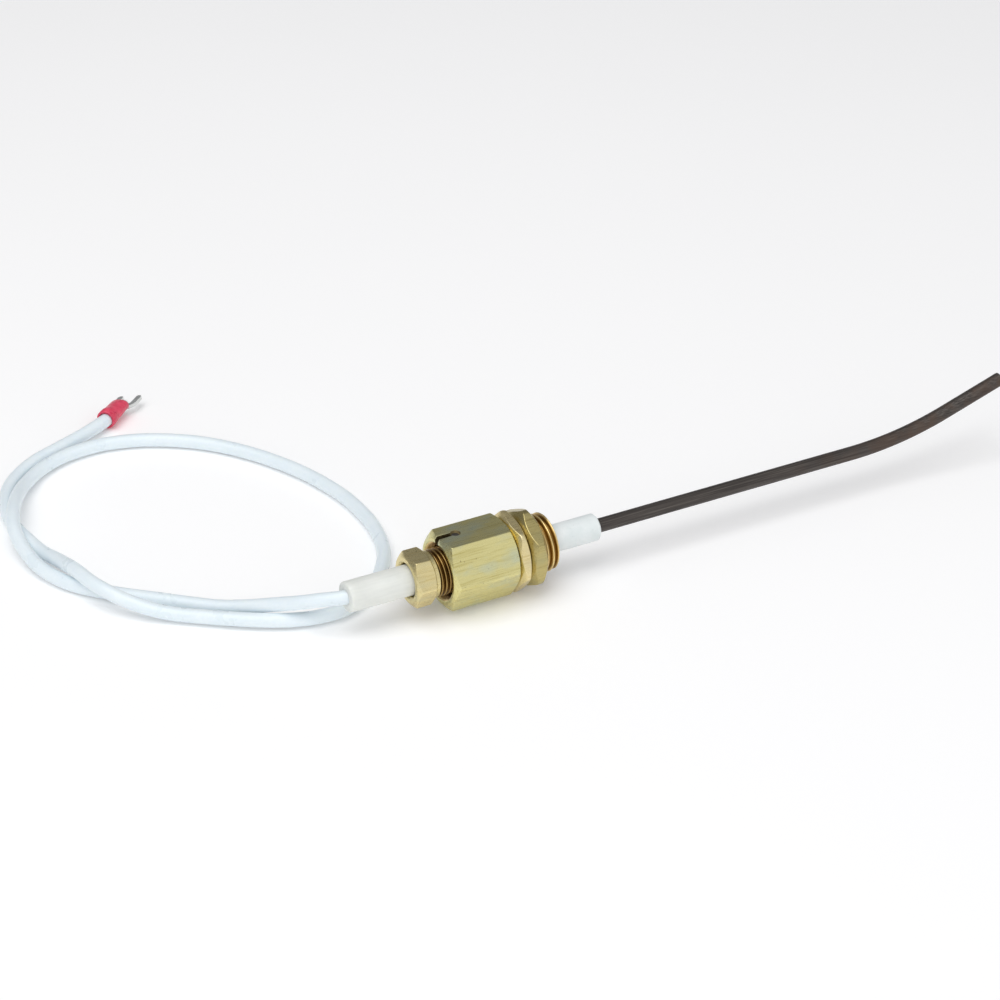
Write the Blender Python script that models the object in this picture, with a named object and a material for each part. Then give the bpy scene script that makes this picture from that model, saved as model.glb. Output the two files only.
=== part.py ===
"""Flame sensor probe: a bent sensing rod in a ceramic tube, held in a brass compression
holder with two jam nuts, with a silicone-insulated lead that ends in a red fork terminal.

The probe lies along +X with its bent tip forward.  +Z is up, z = 0 is the surface that the
probe lies on, and the origin is below the middle of the probe.  Lengths are in metres.
"""

import math

import bmesh
import bpy
from mathutils import Matrix, Vector
from mathutils.geometry import interpolate_bezier

MM = 0.001

# ---- driving dimensions ----------------------------------------------------------------

AXIS_HEIGHT = 9.3 * MM            # the outer jam nut's lowest corner rests on z = 0
FIT_GAP = 0.05 * MM               # radial running clearance on the thread crests
STACK_GAP = 0.1 * MM              # between pieces stacked along the axis
CHAMFER_ANGLE = math.radians(30.0)

# Sensing rod
ROD_RADIUS = 1.6 * MM
ROD_REAR = -68.6 * MM
ROD_BEND_START = 43.6 * MM
ROD_BEND_RADIUS = 86.0 * MM
ROD_BEND_ANGLE = math.radians(17.5)
ROD_TIP_LENGTH = 16.0 * MM

# Ceramic tube
CERAMIC_RADIUS = 3.1 * MM
CERAMIC_BORE = 1.8 * MM
CERAMIC_REAR = -63.4 * MM
CERAMIC_FRONT = -24.1 * MM
CEMENT_DEPTH = 1.9 * MM
CEMENT_RADIUS = 2.35 * MM

# Holder body: hexagon, rear socket and front thread
HOLDER_ACROSS_FLATS = 16.0 * MM
HOLDER_REAR = -63.2 * MM
HOLDER_SHOULDER = -47.3 * MM
NIPPLE_FRONT = -36.4 * MM
HOLDER_REAR_FACE_RADIUS = 7.35 * MM
HOLDER_SHOULDER_RADIUS = 8.1 * MM
SOCKET_RADIUS = 5.45 * MM
SOCKET_MOUTH_RADIUS = 6.7 * MM
SOCKET_END = -50.1 * MM
HOLDER_BORE = 3.35 * MM
NIPPLE_THREAD_RADIUS = 6.58 * MM  # quarter-inch pipe thread, 13.157 mm over the crests
NIPPLE_ROOT_RADIUS = 5.75 * MM
NIPPLE_PITCH = 1.337 * MM
SLOT_WIDTH = 1.1 * MM
SLOT_SIDE = 0.6 * MM              # the slot's offset from the axis, along +Y
KEYHOLE_X = -58.6 * MM
KEYHOLE_RADIUS = 1.15 * MM

# Gland nut
GLAND_ACROSS_FLATS = 11.3 * MM
GLAND_REAR = -70.9 * MM
GLAND_HEX_FRONT = -66.2 * MM
GLAND_THREAD_FRONT = -60.9 * MM
GLAND_THREAD_RADIUS = 5.3 * MM
GLAND_ROOT_RADIUS = 4.75 * MM
GLAND_PITCH = 1.0 * MM
GLAND_SHOULDER = 0.9 * MM         # plain length between the hexagon and the thread
GLAND_BORE = 3.75 * MM

# Pieces inside the holder's socket, from the gland nut forward
WASHER_THICKNESS = 0.6 * MM
BUSH_LENGTH = 3.35 * MM
PACKING_THICKNESS = 1.85 * MM
PACKING_COUNT = 3
SOCKET_PIECE_RADIUS = 5.3 * MM
PACKING_BORE = 3.2 * MM
SLIP_BORE = 3.6 * MM              # the slip washer and the bush clear the rear sleeve
PIN_RADIUS = 0.85 * MM

# Jam nuts on the front thread: rear face, thickness, face radius, chamfer angle, and roll
JAM_ACROSS_FLATS = 16.6 * MM
JAM_CORNER_RADIUS = 9.3 * MM
JAM_NUTS = {
    "jam_nut_inner": (-47.05 * MM, 2.7 * MM, 7.7 * MM, math.radians(30.0), math.radians(13.0)),
    "jam_nut_outer": (-44.15 * MM, 4.1 * MM, 7.5 * MM, math.radians(38.0), math.radians(33.0)),
}

# Rear sleeve, crimp and lead
SLEEVE_RADIUS = 3.45 * MM
SLEEVE_BORE = 2.65 * MM
SLEEVE_REAR = -85.2 * MM
SLEEVE_FRONT = -63.7 * MM
CRIMP_RADIUS = 2.3 * MM
CRIMP_BORE = 1.7 * MM
CRIMP_REAR = -72.0 * MM
CRIMP_FRONT = -65.8 * MM
CORE_RADIUS = 0.8 * MM
LEAD_RADIUS = 1.6 * MM
LEAD_POINT_SPACING = 5.6 * MM

# Fork terminal, in its own frame: +X out of the wire's end, the entry collar at 0
TERMINAL_ORIGIN = (-95.2 * MM, 108.5 * MM, 2.3 * MM)
TERMINAL_TURN = math.radians(42.0)
TERMINAL_ROLL = math.radians(-14.0)
TERMINAL_SLEEVE_OUTSIDE = [       # (x, half width, half height): round, then pressed flat
    (0.0, 2.25 * MM, 2.25 * MM), (0.15 * MM, 2.3 * MM, 2.3 * MM), (1.7 * MM, 2.3 * MM, 2.3 * MM),
    (2.6 * MM, 2.3 * MM, 2.15 * MM), (5.0 * MM, 2.45 * MM, 1.8 * MM),
    (7.9 * MM, 2.55 * MM, 1.5 * MM), (8.0 * MM, 2.45 * MM, 1.4 * MM),
]
TERMINAL_SLEEVE_INSIDE = [
    (8.0 * MM, 2.2 * MM, 1.2 * MM), (5.0 * MM, 2.13 * MM, 1.5 * MM),
    (3.3 * MM, 2.05 * MM, 1.75 * MM), (1.7 * MM, 2.0 * MM, 2.0 * MM), (0.0, 2.05 * MM, 2.05 * MM),
]
BARREL_OUTSIDE = [
    (3.3 * MM, 1.9 * MM, 1.6 * MM), (5.0 * MM, 2.0 * MM, 1.38 * MM), (8.6 * MM, 2.08 * MM, 1.05 * MM),
]
BARREL_INSIDE = [(8.6 * MM, 1.5 * MM, 0.6 * MM), (3.3 * MM, 1.2 * MM, 1.1 * MM)]
BARREL_REAR = 3.3 * MM
CORE_FRONT = 5.4 * MM
FORK_THICKNESS = 0.8 * MM
FORK_DROP = 0.9 * MM              # the tongue's middle plane lies this far below the axis
FORK_CENTRE = 10.55 * MM
FORK_OUTER_RADIUS = 3.2 * MM
FORK_SLOT_RADIUS = 1.85 * MM
FORK_TIP = 13.7 * MM

# The lead's route in millimetres, from inside the rear sleeve to inside the terminal: once
# round, back behind the sleeve, over its own first turn, and out to the terminal.
LEAD_ROUTE = [
    (-72.6, 0.0, 9.3), (-79.0, 0.0, 9.3), (-83.5, 0.1, 9.3), (-86.2, 0.9, 9.0), (-89.9, 3.4, 8.2),
    (-93.1, 6.6, 6.8), (-94.9, 9.0, 5.8), (-97.6, 12.4, 4.4), (-100.8, 16.0, 3.0),
    (-105.6, 20.6, 1.8), (-110.7, 25.2, 1.65), (-115.7, 29.7, 1.7), (-120.8, 34.3, 1.7),
    (-124.1, 37.5, 1.7), (-127.4, 41.1, 1.65), (-130.4, 45.4, 1.65), (-132.8, 50.8, 1.8),
    (-134.2, 56.1, 2.4), (-134.6, 62.0, 3.4), (-134.2, 67.3, 4.5), (-132.8, 72.1, 5.1),
    (-130.0, 78.1, 4.8), (-126.0, 85.4, 3.2), (-121.8, 90.7, 2.2), (-117.0, 94.8, 1.9),
    (-111.2, 97.6, 1.8), (-105.0, 98.9, 1.7), (-98.3, 98.7, 1.65), (-89.4, 95.7, 1.65),
    (-79.6, 88.8, 1.65), (-71.4, 78.6, 1.65), (-64.9, 65.4, 1.65), (-61.3, 51.7, 1.65),
    (-60.7, 40.0, 1.65), (-61.6, 32.5, 1.65), (-63.5, 25.7, 1.65), (-66.9, 19.3, 1.65),
    (-73.3, 11.8, 1.65), (-82.0, 7.1, 1.65), (-88.3, 6.7, 1.8), (-92.7, 7.6, 1.9),
    (-96.8, 9.2, 2.0), (-102.3, 12.5, 2.0), (-107.5, 16.3, 1.9), (-111.0, 19.0, 1.9),
    (-114.5, 21.7, 1.9), (-118.0, 24.4, 2.3), (-121.3, 27.4, 3.1), (-124.4, 31.1, 4.0),
    (-126.4, 34.4, 4.7), (-128.0, 38.5, 5.1), (-129.0, 44.6, 5.1), (-129.6, 52.1, 3.5),
    (-130.8, 60.5, 1.9), (-131.6, 68.3, 1.65), (-131.9, 74.1, 1.65), (-131.2, 80.1, 1.65),
    (-129.4, 85.8, 1.65), (-127.2, 89.9, 1.65), (-124.3, 93.5, 1.65), (-120.2, 97.0, 1.65),
    (-115.6, 99.8, 1.65), (-109.7, 102.2, 1.7), (-103.3, 104.6, 1.9), (-99.3, 106.3, 2.1),
    (-95.2, 108.5, 2.2), (-93.1, 110.4, 2.3),
]

SEGMENTS = 48


# ---- modelling helpers -----------------------------------------------------------------

def clear_scene():
    for old in list(bpy.data.objects):
        bpy.data.objects.remove(old, do_unlink=True)


def surface(name, colour, roughness, metallic=0.0):
    """A plain Principled material."""
    material = bpy.data.materials.new(name)
    material.use_nodes = True
    shader = material.node_tree.nodes["Principled BSDF"]
    shader.inputs["Base Color"].default_value = (*colour, 1.0)
    shader.inputs["Roughness"].default_value = roughness
    shader.inputs["Metallic"].default_value = metallic
    return material


def place(name, mesh, material, location, roll=0.0, parent=None):
    mesh.materials.append(material)
    mesh.shade_smooth()
    mesh.set_sharp_from_angle(angle=math.radians(25.0))
    piece = bpy.data.objects.new(name, mesh)
    piece.location = location
    piece.rotation_euler = (roll, 0.0, 0.0)
    piece.parent = parent
    bpy.context.collection.objects.link(piece)
    return piece


def on_axis(x):
    return (x, 0.0, AXIS_HEIGHT)


def spun_mesh(name, outline_at, segments=SEGMENTS, hollow=True):
    """Spin an outline about X.

    outline_at(angle) lists (x, radius) points: all the way round a hollow piece's section,
    or from end to end of a solid one, which is closed with flat ends.
    """
    form = bmesh.new()
    loops = []
    for step in range(segments):
        angle = 2.0 * math.pi * step / segments
        side = math.cos(angle)
        rise = math.sin(angle)
        points = outline_at(angle)
        loops.append([form.verts.new((x, radius * side, radius * rise)) for x, radius in points])
    count = len(loops[0])
    for step in range(segments):
        here = loops[step]
        after = loops[(step + 1) % segments]
        for k in range(count if hollow else count - 1):
            n = (k + 1) % count
            form.faces.new((here[k], here[n], after[n], after[k]))
    if not hollow:
        form.faces.new([loop[0] for loop in loops])
        form.faces.new([loop[-1] for loop in loops])
    bmesh.ops.recalc_face_normals(form, faces=form.faces)
    mesh = bpy.data.meshes.new(name)
    form.to_mesh(mesh)
    form.free()
    return mesh


def round_ring(name, length, radius, bore, edge=0.0):
    """A round tube along +X from 0, with its outer edges broken by edge."""
    outline = [
        (0.0, bore), (0.0, radius - edge), (edge, radius), (length - edge, radius),
        (length, radius - edge), (length, bore),
    ]
    if edge == 0.0:
        outline = [(0.0, bore), (0.0, radius), (length, radius), (length, bore)]
    return spun_mesh(name, lambda angle: outline)


def round_bar(name, length, radius):
    return spun_mesh(name, lambda angle: [(0.0, radius), (length, radius)], 24, hollow=False)


def hexagon_radius(angle, across_flats, corner_radius):
    """Distance from the axis to a hexagon's side, with the corners turned off."""
    from_middle = angle % math.radians(60.0) - math.radians(30.0)
    return min(across_flats / 2.0 / math.cos(from_middle), corner_radius)


def chamfered_hexagon(angle, across_flats, rear, front, face_radii, chamfer, corner=1.0):
    """The four outline points of a hexagon with both faces turned to chamfer cones."""
    rear_radius, front_radius = face_radii
    slope = math.tan(chamfer)
    reach = hexagon_radius(angle, across_flats, corner)
    rear_cut = max(reach - rear_radius, 0.0) * slope
    front_cut = max(reach - front_radius, 0.0) * slope
    return [
        (rear, min(rear_radius, reach)),
        (rear + rear_cut + 0.01 * MM, reach),
        (front - front_cut - 0.01 * MM, reach),
        (front, min(front_radius, reach)),
    ]


def thread_outline(rear, front, crest, root, pitch):
    """Annular crests from rear to front, standing in for a screw thread."""
    points = []
    turns = int((front - rear) / pitch)
    for turn in range(turns):
        start = rear + turn * pitch
        points.append((start, root))
        points.append((start + 0.42 * pitch, crest))
        points.append((start + 0.58 * pitch, crest))
    points.append((rear + turns * pitch, root))
    return points


def guide(name, mesh, location, parent=None):
    """A cutter or a joining shape, which is not a piece itself."""
    shape = bpy.data.objects.new(name, mesh)
    shape.location = location
    shape.parent = parent
    shape.hide_render = True
    shape.display_type = "WIRE"
    bpy.context.collection.objects.link(shape)
    return shape


def boolean(piece, other, operation):
    change = piece.modifiers.new(other.name, "BOOLEAN")
    change.operation = operation
    change.solver = "EXACT"
    change.object = other


def block_mesh(name, low, high):
    form = bmesh.new()
    bmesh.ops.create_cube(form, size=1.0)
    size = Vector(high) - Vector(low)
    middle = (Vector(high) + Vector(low)) / 2.0
    bmesh.ops.transform(form, matrix=Matrix.LocRotScale(middle, None, size), verts=form.verts)
    mesh = bpy.data.meshes.new(name)
    form.to_mesh(mesh)
    form.free()
    return mesh


def upright_bar(name, low, high, radius, segments=24):
    """A round bar along Z from low to high, centred on its own X and Y."""
    form = bmesh.new()
    middle = Matrix.Translation((0.0, 0.0, (low + high) / 2.0))
    bmesh.ops.create_cone(
        form, cap_ends=True, segments=segments, radius1=radius, radius2=radius,
        depth=high - low, matrix=middle)
    mesh = bpy.data.meshes.new(name)
    form.to_mesh(mesh)
    form.free()
    return mesh


def smooth_route(points, spacing):
    """Points at even spacing along one smooth curve through the route's points."""
    fine = []
    count = len(points)
    for k in range(count - 1):
        here = points[k]
        after = points[k + 1]
        before = points[max(k - 1, 0)]
        beyond = points[min(k + 2, count - 1)]
        leave = here + (after - before) / 6.0
        reach = after - (beyond - here) / 6.0
        fine.extend(interpolate_bezier(here, leave, reach, after, 24)[:-1])
    fine.append(points[-1])
    travelled = [0.0]
    for k in range(1, len(fine)):
        travelled.append(travelled[-1] + (fine[k] - fine[k - 1]).length)
    steps = round(travelled[-1] / spacing)
    even = []
    place_now = 0
    for step in range(steps + 1):
        target = travelled[-1] * step / steps
        while place_now < len(fine) - 2 and travelled[place_now + 1] < target:
            place_now += 1
        span = travelled[place_now + 1] - travelled[place_now]
        part = min((target - travelled[place_now]) / span, 1.0)
        even.append(fine[place_now].lerp(fine[place_now + 1], part))
    return even


def tube(name, points, radius, resolution, material):
    """A round bar along points, as a bevelled curve with closed ends."""
    curve = bpy.data.curves.new(name, "CURVE")
    curve.dimensions = "3D"
    curve.bevel_depth = radius
    curve.bevel_resolution = resolution
    curve.use_fill_caps = True
    line = curve.splines.new("POLY")
    line.points.add(len(points) - 1)
    for point, where in zip(line.points, points):
        point.co = (*where, 1.0)
    line.use_smooth = True
    curve.materials.append(material)
    piece = bpy.data.objects.new(name, curve)
    bpy.context.collection.objects.link(piece)
    return piece


# ---- materials -------------------------------------------------------------------------

def make_materials():
    return {
        "brass": surface("brass", (0.62, 0.50, 0.20), 0.32, 1.0),
        "steel": surface("steel", (0.52, 0.52, 0.53), 0.35, 1.0),
        "tin": surface("tin", (0.66, 0.66, 0.68), 0.38, 1.0),
        "rod": surface("rod", (0.085, 0.07, 0.062), 0.55, 0.8),
        "ceramic": surface("ceramic", (0.80, 0.84, 0.83), 0.45),
        "cement": surface("cement", (0.62, 0.60, 0.55), 0.85),
        "graphite": surface("graphite", (0.10, 0.10, 0.11), 0.6),
        "silicone": surface("silicone", (0.80, 0.82, 0.77), 0.5),
        "lead": surface("lead", (0.80, 0.84, 0.89), 0.42),
        "copper": surface("copper", (0.72, 0.42, 0.28), 0.35, 1.0),
        "vinyl": surface("vinyl", (0.74, 0.07, 0.12), 0.35),
    }


# ---- the probe itself ------------------------------------------------------------------

def rod_points():
    """The rod's middle line: straight, one gentle upward arc, straight to the tip."""
    points = [Vector(on_axis(ROD_REAR)), Vector(on_axis(ROD_BEND_START))]
    arc_steps = 12
    for step in range(1, arc_steps + 1):
        angle = ROD_BEND_ANGLE * step / arc_steps
        x = ROD_BEND_START + ROD_BEND_RADIUS * math.sin(angle)
        z = AXIS_HEIGHT + ROD_BEND_RADIUS * (1.0 - math.cos(angle))
        points.append(Vector((x, 0.0, z)))
    along = Vector((math.cos(ROD_BEND_ANGLE), 0.0, math.sin(ROD_BEND_ANGLE)))
    points.append(points[-1] + along * ROD_TIP_LENGTH)
    return points


def build_probe(materials):
    tube("sensing_rod", rod_points(), ROD_RADIUS, 8, materials["rod"])

    length = CERAMIC_FRONT - CERAMIC_REAR
    wide = CEMENT_RADIUS + STACK_GAP / 2.0
    edge = 0.35 * MM
    ceramic_outline = [
        (0.0, wide), (0.0, CERAMIC_RADIUS - edge), (edge, CERAMIC_RADIUS),
        (length - edge, CERAMIC_RADIUS), (length, CERAMIC_RADIUS - edge), (length, wide),
        (length - CEMENT_DEPTH, wide), (length - CEMENT_DEPTH, CERAMIC_BORE),
        (CEMENT_DEPTH, CERAMIC_BORE), (CEMENT_DEPTH, wide),
    ]
    mesh = spun_mesh("ceramic_tube", lambda angle: ceramic_outline, 48)
    place("ceramic_tube", mesh, materials["ceramic"], on_axis(CERAMIC_REAR))

    cement_length = CEMENT_DEPTH - 2.0 * STACK_GAP
    cement_bore = ROD_RADIUS + STACK_GAP
    starts = {
        "rear_cement_seal": CERAMIC_REAR + STACK_GAP,
        "front_cement_seal": CERAMIC_FRONT - CEMENT_DEPTH + STACK_GAP,
    }
    for name, start in starts.items():
        mesh = round_ring(name, cement_length, CEMENT_RADIUS, cement_bore)
        place(name, mesh, materials["cement"], on_axis(start))

    mesh = round_ring("crimp_ferrule", CRIMP_FRONT - CRIMP_REAR, CRIMP_RADIUS, CRIMP_BORE, 0.2 * MM)
    place("crimp_ferrule", mesh, materials["tin"], on_axis(CRIMP_REAR))

    core_rear = LEAD_ROUTE[0][0] * MM + STACK_GAP
    core_length = ROD_REAR - STACK_GAP - core_rear
    mesh = round_bar("lead_core_rear", core_length, CORE_RADIUS)
    place("lead_core_rear", mesh, materials["copper"], on_axis(core_rear))

    mesh = round_ring(
        "rear_sleeve", SLEEVE_FRONT - SLEEVE_REAR, SLEEVE_RADIUS, SLEEVE_BORE, 0.3 * MM)
    place("rear_sleeve", mesh, materials["silicone"], on_axis(SLEEVE_REAR))

    route = [Vector(point) * MM for point in LEAD_ROUTE]
    tube("lead_wire", smooth_route(route, LEAD_POINT_SPACING), LEAD_RADIUS, 2, materials["lead"])


# ---- the holder and what is inside it --------------------------------------------------

def holder_outline(angle):
    outline = chamfered_hexagon(
        angle, HOLDER_ACROSS_FLATS, HOLDER_REAR, HOLDER_SHOULDER,
        (HOLDER_REAR_FACE_RADIUS, HOLDER_SHOULDER_RADIUS), CHAMFER_ANGLE)
    relief = NIPPLE_ROOT_RADIUS - 0.05 * MM
    outline.append((HOLDER_SHOULDER, relief))
    outline.append((HOLDER_SHOULDER + 0.5 * MM, relief))
    outline += thread_outline(
        HOLDER_SHOULDER + 0.7 * MM, NIPPLE_FRONT - 0.2 * MM,
        NIPPLE_THREAD_RADIUS, NIPPLE_ROOT_RADIUS, NIPPLE_PITCH)
    outline += [
        (NIPPLE_FRONT, NIPPLE_ROOT_RADIUS - 0.1 * MM),
        (NIPPLE_FRONT, HOLDER_BORE),
        (SOCKET_END, HOLDER_BORE),
        (SOCKET_END, SOCKET_RADIUS),
        (HOLDER_REAR + SOCKET_MOUTH_RADIUS - SOCKET_RADIUS, SOCKET_RADIUS),
        (HOLDER_REAR, SOCKET_MOUTH_RADIUS),
    ]
    return [(x - HOLDER_REAR, radius) for x, radius in outline]


def build_holder(materials):
    mesh = spun_mesh("holder_body", holder_outline)
    holder = place("holder_body", mesh, materials["brass"], on_axis(HOLDER_REAR))

    # A slot open at the rear ends in a round keyhole, both right through the upper wall.
    low = AXIS_HEIGHT + 3.0 * MM
    high = AXIS_HEIGHT + 9.5 * MM
    slot_low = (HOLDER_REAR - 1.0 * MM, SLOT_SIDE - SLOT_WIDTH / 2.0, low)
    slot_high = (KEYHOLE_X, SLOT_SIDE + SLOT_WIDTH / 2.0, high)
    slot = guide("slot_cutter", block_mesh("slot_cutter", slot_low, slot_high), (0.0, 0.0, 0.0))
    keyhole_mesh = upright_bar("keyhole_cutter", low + 0.2 * MM, high + 0.2 * MM, KEYHOLE_RADIUS)
    keyhole = guide("keyhole_cutter", keyhole_mesh, (KEYHOLE_X, SLOT_SIDE, 0.0))
    boolean(holder, slot, "DIFFERENCE")
    boolean(holder, keyhole, "DIFFERENCE")


def gland_outline(angle):
    outline = chamfered_hexagon(
        angle, GLAND_ACROSS_FLATS, GLAND_REAR, GLAND_HEX_FRONT,
        (5.1 * MM, 5.5 * MM), CHAMFER_ANGLE)
    shoulder_end = GLAND_HEX_FRONT + GLAND_SHOULDER
    outline.append((GLAND_HEX_FRONT, GLAND_THREAD_RADIUS))
    outline.append((shoulder_end, GLAND_THREAD_RADIUS))
    outline += thread_outline(
        shoulder_end + 0.2 * MM, GLAND_THREAD_FRONT - 0.05 * MM,
        GLAND_THREAD_RADIUS, GLAND_ROOT_RADIUS, GLAND_PITCH)
    outline += [
        (GLAND_THREAD_FRONT, GLAND_ROOT_RADIUS - 0.1 * MM),
        (GLAND_THREAD_FRONT, GLAND_BORE),
        (GLAND_REAR + 0.3 * MM, GLAND_BORE),
        (GLAND_REAR, GLAND_BORE + 0.3 * MM),
    ]
    return [(x - GLAND_REAR, radius) for x, radius in outline]


def build_gland(materials):
    mesh = spun_mesh("gland_nut", gland_outline)
    place("gland_nut", mesh, materials["brass"], on_axis(GLAND_REAR))

    start = GLAND_THREAD_FRONT + STACK_GAP
    washer = round_ring("slip_washer", WASHER_THICKNESS, SOCKET_PIECE_RADIUS, SLIP_BORE)
    place("slip_washer", washer, materials["steel"], on_axis(start))
    start += WASHER_THICKNESS + STACK_GAP

    bush_mesh = round_ring("thrust_bush", BUSH_LENGTH, SOCKET_PIECE_RADIUS, SLIP_BORE, 0.2 * MM)
    bush = place("thrust_bush", bush_mesh, materials["brass"], on_axis(start))
    pin_floor = AXIS_HEIGHT + 4.2 * MM
    pin_top = AXIS_HEIGHT + HOLDER_ACROSS_FLATS / 2.0 - 0.45 * MM
    pin_place = (KEYHOLE_X, SLOT_SIDE, 0.0)
    hole_mesh = upright_bar(
        "pin_hole_cutter", pin_floor - STACK_GAP, pin_top, PIN_RADIUS + FIT_GAP)
    boolean(bush, guide("pin_hole_cutter", hole_mesh, pin_place), "DIFFERENCE")
    pin = upright_bar("guide_pin", pin_floor, pin_top, PIN_RADIUS)
    place("guide_pin", pin, materials["steel"], pin_place)
    start += BUSH_LENGTH + STACK_GAP

    for number in range(1, PACKING_COUNT + 1):
        name = f"packing_ring_{number}"
        ring = round_ring(name, PACKING_THICKNESS, SOCKET_PIECE_RADIUS, PACKING_BORE)
        place(name, ring, materials["graphite"], on_axis(start))
        start += PACKING_THICKNESS + STACK_GAP

    seat = round_ring("seat_washer", WASHER_THICKNESS, SOCKET_PIECE_RADIUS, PACKING_BORE)
    place("seat_washer", seat, materials["brass"], on_axis(start))


def jam_nut_outline(angle, thickness, face_radius, chamfer):
    bore = NIPPLE_THREAD_RADIUS + FIT_GAP
    outline = chamfered_hexagon(
        angle, JAM_ACROSS_FLATS, 0.0, thickness, (face_radius, face_radius), chamfer,
        JAM_CORNER_RADIUS)
    lead_in = 0.35 * MM
    return outline + [
        (thickness, bore + lead_in), (thickness - lead_in, bore),
        (lead_in, bore), (0.0, bore + lead_in),
    ]


def build_jam_nuts(materials):
    for name, (rear, thickness, face_radius, chamfer, roll) in JAM_NUTS.items():
        mesh = spun_mesh(
            name, lambda angle: jam_nut_outline(angle, thickness, face_radius, chamfer))
        place(name, mesh, materials["brass"], on_axis(rear), roll)


# ---- the fork terminal -----------------------------------------------------------------

def oval_mesh(name, stations):
    """Spin ovals about X: each station is (x, half width along Y, half height along Z)."""
    def outline_at(angle):
        side = abs(math.cos(angle))
        rise = abs(math.sin(angle))
        return [(x, 1.0 / math.hypot(side / wide, rise / high)) for x, wide, high in stations]
    return spun_mesh(name, outline_at, 32)


def fork_mesh():
    """The flat tongue: a neck that widens into two prongs round an open slot."""
    outline = []
    for step in range(9):
        angle = math.radians(140.0 - 50.0 * step / 8)
        outline.append((
            FORK_CENTRE + FORK_OUTER_RADIUS * math.cos(angle),
            FORK_OUTER_RADIUS * math.sin(angle)))
    outline += [
        (FORK_TIP - 0.5 * MM, FORK_OUTER_RADIUS), (FORK_TIP, FORK_OUTER_RADIUS - 0.45 * MM),
        (FORK_TIP, FORK_SLOT_RADIUS + 0.2 * MM), (FORK_TIP - 0.4 * MM, FORK_SLOT_RADIUS),
    ]
    for step in range(9):
        angle = math.radians(90.0 + 90.0 * step / 8)
        outline.append((
            FORK_CENTRE + FORK_SLOT_RADIUS * math.cos(angle),
            FORK_SLOT_RADIUS * math.sin(angle)))
    mirrored = [(x, -y) for x, y in reversed(outline[:-1])]
    half = FORK_THICKNESS / 2.0
    form = bmesh.new()
    corners = [form.verts.new((x, y, -FORK_DROP - half)) for x, y in outline + mirrored]
    base = form.faces.new(corners)
    raised = bmesh.ops.extrude_face_region(form, geom=[base])
    top = [item for item in raised["geom"] if isinstance(item, bmesh.types.BMVert)]
    bmesh.ops.translate(form, verts=top, vec=(0.0, 0.0, FORK_THICKNESS))
    bmesh.ops.recalc_face_normals(form, faces=form.faces)
    mesh = bpy.data.meshes.new("fork_terminal")
    form.to_mesh(mesh)
    form.free()
    return mesh


def build_terminal(materials):
    seat = bpy.data.objects.new("terminal_seat", None)
    seat.location = TERMINAL_ORIGIN
    seat.rotation_euler = (TERMINAL_ROLL, 0.0, TERMINAL_TURN)
    bpy.context.collection.objects.link(seat)

    mesh = oval_mesh("terminal_sleeve", TERMINAL_SLEEVE_OUTSIDE + TERMINAL_SLEEVE_INSIDE)
    place("terminal_sleeve", mesh, materials["vinyl"], (0.0, 0.0, 0.0), parent=seat)

    fork = place("fork_terminal", fork_mesh(), materials["tin"], (0.0, 0.0, 0.0), parent=seat)
    barrel_mesh = oval_mesh("barrel_joiner", BARREL_OUTSIDE + BARREL_INSIDE)
    boolean(fork, guide("barrel_joiner", barrel_mesh, (0.0, 0.0, 0.0), seat), "UNION")

    core_rear = BARREL_REAR - 0.1 * MM
    mesh = round_bar("lead_core_front", CORE_FRONT - core_rear, CORE_RADIUS)
    place("lead_core_front", mesh, materials["copper"], (core_rear, 0.0, 0.0), parent=seat)


def main():
    clear_scene()
    materials = make_materials()
    build_probe(materials)
    build_holder(materials)
    build_gland(materials)
    build_jam_nuts(materials)
    build_terminal(materials)
    bpy.context.view_layer.update()


main()
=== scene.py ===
"""Looks of the flame sensor probe: camera, lead, turned and drawn metal, light and floor."""

import math

import bpy
from mathutils import Euler, Matrix, Vector
from mathutils.geometry import interpolate_bezier


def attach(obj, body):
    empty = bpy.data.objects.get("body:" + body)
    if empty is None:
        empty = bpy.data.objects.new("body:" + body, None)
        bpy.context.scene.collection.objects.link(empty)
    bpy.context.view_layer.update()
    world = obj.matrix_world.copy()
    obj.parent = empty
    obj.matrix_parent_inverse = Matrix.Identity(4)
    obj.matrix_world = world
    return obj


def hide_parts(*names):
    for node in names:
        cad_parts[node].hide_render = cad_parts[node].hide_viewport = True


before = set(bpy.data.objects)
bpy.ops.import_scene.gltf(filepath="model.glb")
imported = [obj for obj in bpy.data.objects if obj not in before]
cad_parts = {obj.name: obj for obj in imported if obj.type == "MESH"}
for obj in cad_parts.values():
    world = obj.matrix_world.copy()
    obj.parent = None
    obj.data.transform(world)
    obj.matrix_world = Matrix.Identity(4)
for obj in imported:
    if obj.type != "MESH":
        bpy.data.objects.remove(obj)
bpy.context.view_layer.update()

MM = 0.001
AXIS = 9.3 * MM                   # height of the probe's axis
NUT_CHAMFER = math.tan(math.radians(30.0))


# ---- camera ----------------------------------------------------------------------------

def make_camera():
    data = bpy.data.cameras.new("camera")
    data.lens = 118.35
    data.sensor_width = 36.0
    data.clip_start = 0.02
    data.clip_end = 20.0
    camera = bpy.data.objects.new("camera", data)
    bpy.context.collection.objects.link(camera)
    target = Vector((-30.34, 32.12, 1.3)) * MM
    camera.location = Vector((-341.39, -534.54, 381.62)) * MM
    camera.rotation_euler = (target - camera.location).to_track_quat("-Z", "Y").to_euler()
    bpy.context.scene.camera = camera


make_camera()


# ---- shapes ----------------------------------------------------------------------------

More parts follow.
